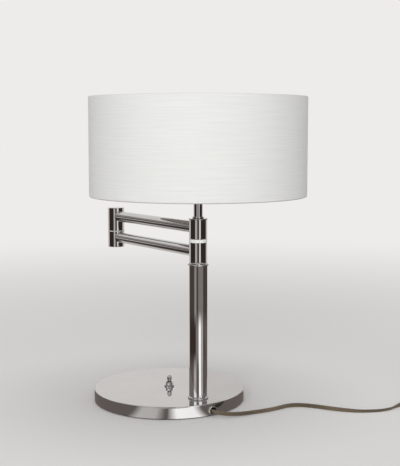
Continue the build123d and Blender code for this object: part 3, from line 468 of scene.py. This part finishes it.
leadLine, leadLength = smoothLine(run + coilPoints() + tail)
leadGap = (leadLine[1] - leadLine[0]).length
coilReach = lead["coilTurn"] + lead["thickness"]
coilStart = Vector((lead["coilCentre"][0], lead["coilCentre"][1] - coilReach, 0))
coilStep = next(i for i, spot in enumerate(leadLine) if (spot.xy - coilStart.xy).length < lead["coilNear"])
strands = [
    sleeved("mainsLead", strandLine(leadLine, half), lead["strand"] / 2, lead["sides"])
    for half in (0, pi)
]
sole(*strands)
bpy.ops.object.join()
mainsLead = bpy.context.object
placed(mainsLead, "base", "lead_cloth", "cord_lead", "cord_coil")
print("lead", round(leadLength, 3), "m")


columnLow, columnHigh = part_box("column_tube")
columnAxis = ((columnLow.x + columnHigh.x) / 2, (columnLow.y + columnHigh.y) / 2)
shadeLow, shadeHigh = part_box("shade_fabric")
shade = {
    "radius": (shadeHigh.x - shadeLow.x) / 2,
    "bottom": shadeLow.z,
    "top": shadeHigh.z,
    "cloth": 0.0005,
    "roll": 0.0052,  # width of the rolled edge over hoop and film
    "lowerRound": 0.0020,
    "upperRound": 0.0012,
    "innerRound": 0.0019,
    "hem": 0.007,  # turned in at the top
    "liningFoot": 0.0021,  # lower end of the inner side
    "steps": 240,
}
seam = {
    "heading": 235.0,
    "steps": 480,
    "width": 5,  # of the glued overlap, in steps
    "reachBeyond": 0.1,  # degrees, so that the outermost points stay
    "proud": 0.00045,
}


def shadeProfile():
    outer, inner = shade["radius"], shade["radius"] - shade["roll"]
    top, bottom = shade["top"], shade["bottom"]
    wide, lower, upper = shade["innerRound"], shade["lowerRound"], shade["upperRound"]
    return (
        [(inner, bottom + shade["liningFoot"])]
        + arc((inner + wide, bottom + wide), wide, 180, 270, 6)
        + arc((outer - lower, bottom + lower), lower, 270, 360, 8)
        + arc((outer - upper, top - upper), upper, 0, 90, 6)
        + arc((inner + wide, top - wide), wide, 90, 180, 6)
        + [(inner, top - shade["hem"])]
    )


def makeShadeCloth():
    profile = shadeProfile()
    cloth = turned("shadeCloth", columnAxis, profile, steps=shade["steps"])
    wound(cloth, columnAxis, profile, radians(seam["heading"]))
    applied(cloth, "SOLIDIFY", thickness=shade["cloth"], offset=-1.0)
    smoothed(cloth, 60.0)
    return cloth, sum(hypot(b[0] - a[0], b[1] - a[1]) for a, b in zip(profile, profile[1:]))


def makeShadeSeam():  # the edge of the cloth, glued down over its other end
    outer, proud = shade["radius"], seam["proud"]
    top, bottom = shade["top"], shade["bottom"]
    lower, upper = shade["lowerRound"], shade["upperRound"]
    profile = (
        arc((outer - lower, bottom + lower), lower + proud, 290, 360, 6)
        + arc((outer - upper, top - upper), upper + proud, 0, 70, 6)
    )
    strip = turned("shadeSeam", columnAxis, profile, steps=seam["steps"])
    wound(strip, columnAxis, profile, radians(seam["heading"]) - pi)
    half = seam["width"] * 360 / seam["steps"] / 2 + seam["reachBeyond"]
    bpy.ops.object.mode_set(mode="EDIT")
    bpy.ops.mesh.select_all(action="DESELECT")
    bpy.ops.object.mode_set(mode="OBJECT")
    for vertex in strip.data.vertices:
        heading = degrees(atan2(vertex.co.y - columnAxis[1], vertex.co.x - columnAxis[0]))
        vertex.select = abs((heading - seam["heading"] + 180) % 360 - 180) > half
    bpy.ops.object.mode_set(mode="EDIT")
    bpy.ops.mesh.delete(type="VERT")
    bpy.ops.object.mode_set(mode="OBJECT")
    applied(strip, "SOLIDIFY", thickness=proud, offset=-1.0)
    smoothed(strip, 40.0)
    return strip


shadeCloth, clothHeight = makeShadeCloth()
shadeSeam = makeShadeSeam()
placed(shadeCloth, "upper_arm", "shade_cloth", "shade_fabric")
placed(shadeSeam, "upper_arm", "shade_cloth")
print("shade cloth")


view = {
    "spot": (0.9016, 1.3830, 0.4651),
    "heading": 145.06,
    "pitch": 6.16,
    "lens": 75.65,
    "sensor": 36.0,
}
eye = bpy.data.cameras.new("eye")
eye.lens = view["lens"]
eye.sensor_width = view["sensor"]
camera = bpy.data.objects.new("eye", eye)
camera.location = view["spot"]
camera.rotation_euler = (radians(90 - view["pitch"]), 0.0, radians(view["heading"]))
bpy.context.scene.collection.objects.link(camera)
bpy.context.scene.camera = camera

room = {
    "daylight": 0.49,  # the world's light on the lamp
    "backdrop": (238, 236, 234),
    "tableSize": 30.0,
    "paleNear": (0.13, 0.40),  # distances between which the table is first lifted towards the backdrop
    "nearShare": 0.30,  # as far as this
    "paleFar": (0.45, 2.6),  # and here the rest of the way
}
boards = {  # what the chrome mirrors: an apron on the table, a wall round it and a ceiling
    "inner": 0.1285,  # just round the base
    "apronHeight": 0.001,
    "apronTop": 0.002,  # above this it is the wall
    "reach": 1.78,  # from the column
    "height": 1.05,
    "baseApron": 0.19,  # the base's side mirrors the apron up to here
    "nearApron": (0.26, 0.46),  # distances from the column between which the tones change
    "farApron": (0.66, 0.92),
    "barrelWall": (0.22, 0.28),  # heights on the wall
    "topFade": (0.80, 1.0),
    "ceiling": 1.7,
    "ceilingTones": 1.2,  # above this the wall is lit like the ceiling
    "ceilingSlack": 0.01,  # keeps the ceiling itself from fading
    "ceilingHole": 0.02,  # share of the ceiling left open in the middle
    "leverWall": (0.38, 0.42),  # below this height the switch's lever mirrors the wall
    "strength": 1.7,  # makes up for what the chrome takes away
    "softEdge": 8.0,  # degrees over which a board fades into the dark cloth
}
rings = {  # how light its cloth is, then boards: start and end in degrees right of the viewer, and light
    "base": (90, [(-180, -115, 165), (-24, -10, 170), (8, 25, 235), (110, 180, 150)]),
    "near": (85, [(-180, -140, 180), (-50, -25, 155), (15, 30, 250), (35, 55, 160), (170, 180, 180)]),
    "far": (50, [(-180, -135, 170), (-25, 0, 115), (15, 30, 250), (35, 60, 160), (80, 160, 85),
                 (175, 180, 175)]),
    "column": (65, [(-180, -140, 170), (-45, -25, 130), (5, 60, 115), (170, 180, 180)]),
    "barrel": (45, [(-180, -115, 180), (-32, -24, 175), (-8, 13, 75), (17, 27, 215), (120, 180, 180)]),
    "lever": (60, [(-180, -165, 190), (-11, 11, 240), (150, 180, 170)]),
    "upper": (120, [(-180, -155, 185), (-50, -26, 250), (15, 45, 250), (150, 180, 175)]),
}


def rayMask(finish):  # 1 for what the viewer, mirrors and glass see
    seen = [finish.node("ShaderNodeLightPath", take=place) for place in (0, 3, 6)]
    return finish.reckon("MINIMUM", seen[0] + seen[1] + seen[2], 1.0)


world = bpy.data.worlds.new("room")
bpy.context.scene.world = world
world.use_nodes = True
sky = Finish.__new__(Finish)
sky.tree = world.node_tree
sky.tree.nodes.clear()
mask = rayMask(sky)
skyGlow = sky.node("ShaderNodeBackground", values={
    "Color": sky.blend(mask, (1, 1, 1, 1), tone(*room["backdrop"])),
    "Strength": mask * (1.0 - room["daylight"]) + room["daylight"]})
sky.node("ShaderNodeOutputWorld", values={"Surface": skyGlow})

bpy.ops.object.select_all(action="DESELECT")
bpy.ops.mesh.primitive_plane_add(size=room["tableSize"], location=(0, 0, 0))
table = bpy.context.object
table.name = "tableTop"
pale = Finish("paleTable")
spot = pale.place()
x, y, _ = pale.parts(spot)
grain = pale.noise(spot, 3.0)
reach = pale.reckon("SQRT", x * x + y * y)
share = room["nearShare"]
fade = pale.ramped(reach, room["paleNear"]) * share + pale.ramped(reach, room["paleFar"]) * (1.0 - share)
top = pale.node("ShaderNodeBsdfPrincipled", values={
    "Base Color": pale.blend(grain, tone(240, 239, 237), tone(243, 242, 240)), "Roughness": 0.6,
    "Specular IOR Level": 0.0})
backdropGlow = pale.node("ShaderNodeEmission", values={"Color": tone(*room["backdrop"])})
ground = pale.node("ShaderNodeMixShader", values={0: fade * rayMask(pale), 1: top, 2: backdropGlow})
pale.node("ShaderNodeOutputMaterial", values={"Surface": ground})
table.data.materials.append(pale.material)

bpy.ops.object.select_all(action="DESELECT")
bpy.ops.mesh.primitive_circle_add(vertices=180, radius=boards["inner"], location=(0, 0, boards["apronHeight"]))
darkBoards = bpy.context.object
darkBoards.name = "darkBoards"
bpy.ops.object.transform_apply(location=True, rotation=True, scale=True)
bpy.ops.object.mode_set(mode="EDIT")
bpy.ops.mesh.extrude_region_move()
wider = boards["reach"] / boards["inner"]
bpy.ops.transform.resize(value=(wider, wider, 1.0), center_override=(0, 0, boards["apronHeight"]))
bpy.ops.transform.translate(value=(*columnAxis, 0.0))
for rise in (boards["height"], boards["ceiling"] - boards["height"]):
    bpy.ops.mesh.extrude_region_move(TRANSFORM_OT_translate={"value": (0, 0, rise)})
bpy.ops.mesh.extrude_region_move()
hole = boards["ceilingHole"]
bpy.ops.transform.resize(value=(hole, hole, 1.0), center_override=(*columnAxis, boards["ceiling"]))
bpy.ops.object.mode_set(mode="OBJECT")
facing = radians(view["heading"] - 90)  # direction from the lamp to the viewer
dark = Finish("boardTones")
x, y, z = dark.parts(dark.place())


def turnAbout(finish, x, y):  # 0 to 1 round a point, 0.5 towards the viewer
    side = y * cos(facing) - x * sin(facing)
    front = x * cos(facing) + y * sin(facing)
    return finish.reckon("ARCTAN2", side, front) / (2 * pi) + 0.5


def warm(light):  # a grey that is warmer where it is darker
    return tone(light, light - 0.04 * (255 - light), light - 0.06 * (255 - light))


def toneRing(finish, turn, ring):
    cloth, panels = ring
    soft = boards["softEdge"]
    stops = []
    for start, end, light in panels:
        if stops and start - stops[-1][0] > 2 * soft:
            stops += [(stops[-1][0] + soft, cloth), (start - soft, cloth)]
        stops += [(start, light), (end, light)]
    stops = [((heading + 180) / 360, warm(light)) for heading, light in stops]
    return finish.node("ShaderNodeValToRGB", {"stops": stops}, {"Fac": turn})


fromColumn = turnAbout(dark, x - columnAxis[0], y - columnAxis[1])


def aboutColumn(name):
    return toneRing(dark, fromColumn, rings[name])


def distance(finish, x, y):
    return finish.reckon("SQRT", x * x + y * y)


away = distance(dark, x - columnAxis[0], y - columnAxis[1])
apron = dark.blend(dark.ramped(away, boards["nearApron"]), aboutColumn("near"), aboutColumn("far"))
apron = dark.blend(dark.ramped(away, boards["farApron"]), apron, aboutColumn("column"))
apron = dark.blend(distance(dark, x, y) < boards["baseApron"], apron,
                   toneRing(dark, turnAbout(dark, x, y), rings["base"]))
wall = dark.blend(dark.ramped(z, boards["barrelWall"]), aboutColumn("barrel"), aboutColumn("lever"))
wall = dark.blend(dark.ramped(z, boards["leverWall"]), wall, aboutColumn("upper"))
wall = dark.blend(z > boards["ceilingTones"], wall, aboutColumn("near"))
tones = dark.blend(z > boards["apronTop"], apron, wall)
boardGlow = dark.node("ShaderNodeEmission", values={"Color": tones, "Strength": boards["strength"]})
clear = dark.node("ShaderNodeBsdfTransparent")
gone = dark.ramped(z, boards["topFade"]) * (z < boards["ceiling"] - boards["ceilingSlack"])
front = dark.node("ShaderNodeMixShader", values={0: gone, 1: boardGlow, 2: clear})
dark.node("ShaderNodeOutputMaterial", values={"Surface": front})
darkBoards.data.materials.append(dark.material)
for kind in ("camera", "diffuse", "shadow", "transmission", "volume_scatter"):
    setattr(darkBoards, "visible_" + kind, False)


softbox = {
    "spot": (2.58, 3.18, 1.30),
    "aim": (0.0, 0.0, 0.35),
    "size": 2.6,
    "power": 101.0,
}
light = bpy.data.lights.new("keySoftbox", "AREA")
light.shape = "RECTANGLE"
light.size, light.size_y = softbox["size"], softbox["size"]
light.energy = softbox["power"]
holder = bpy.data.objects.new("keySoftbox", light)
holder.location = softbox["spot"]
towards = Vector(softbox["aim"]) - Vector(softbox["spot"])
holder.rotation_euler = towards.to_track_quat("-Z", "Y").to_euler()
holder.visible_camera = False
holder.visible_glossy = False
bpy.context.scene.collection.objects.link(holder)

bpy.context.scene.view_settings.view_transform = "Standard"
print("room")
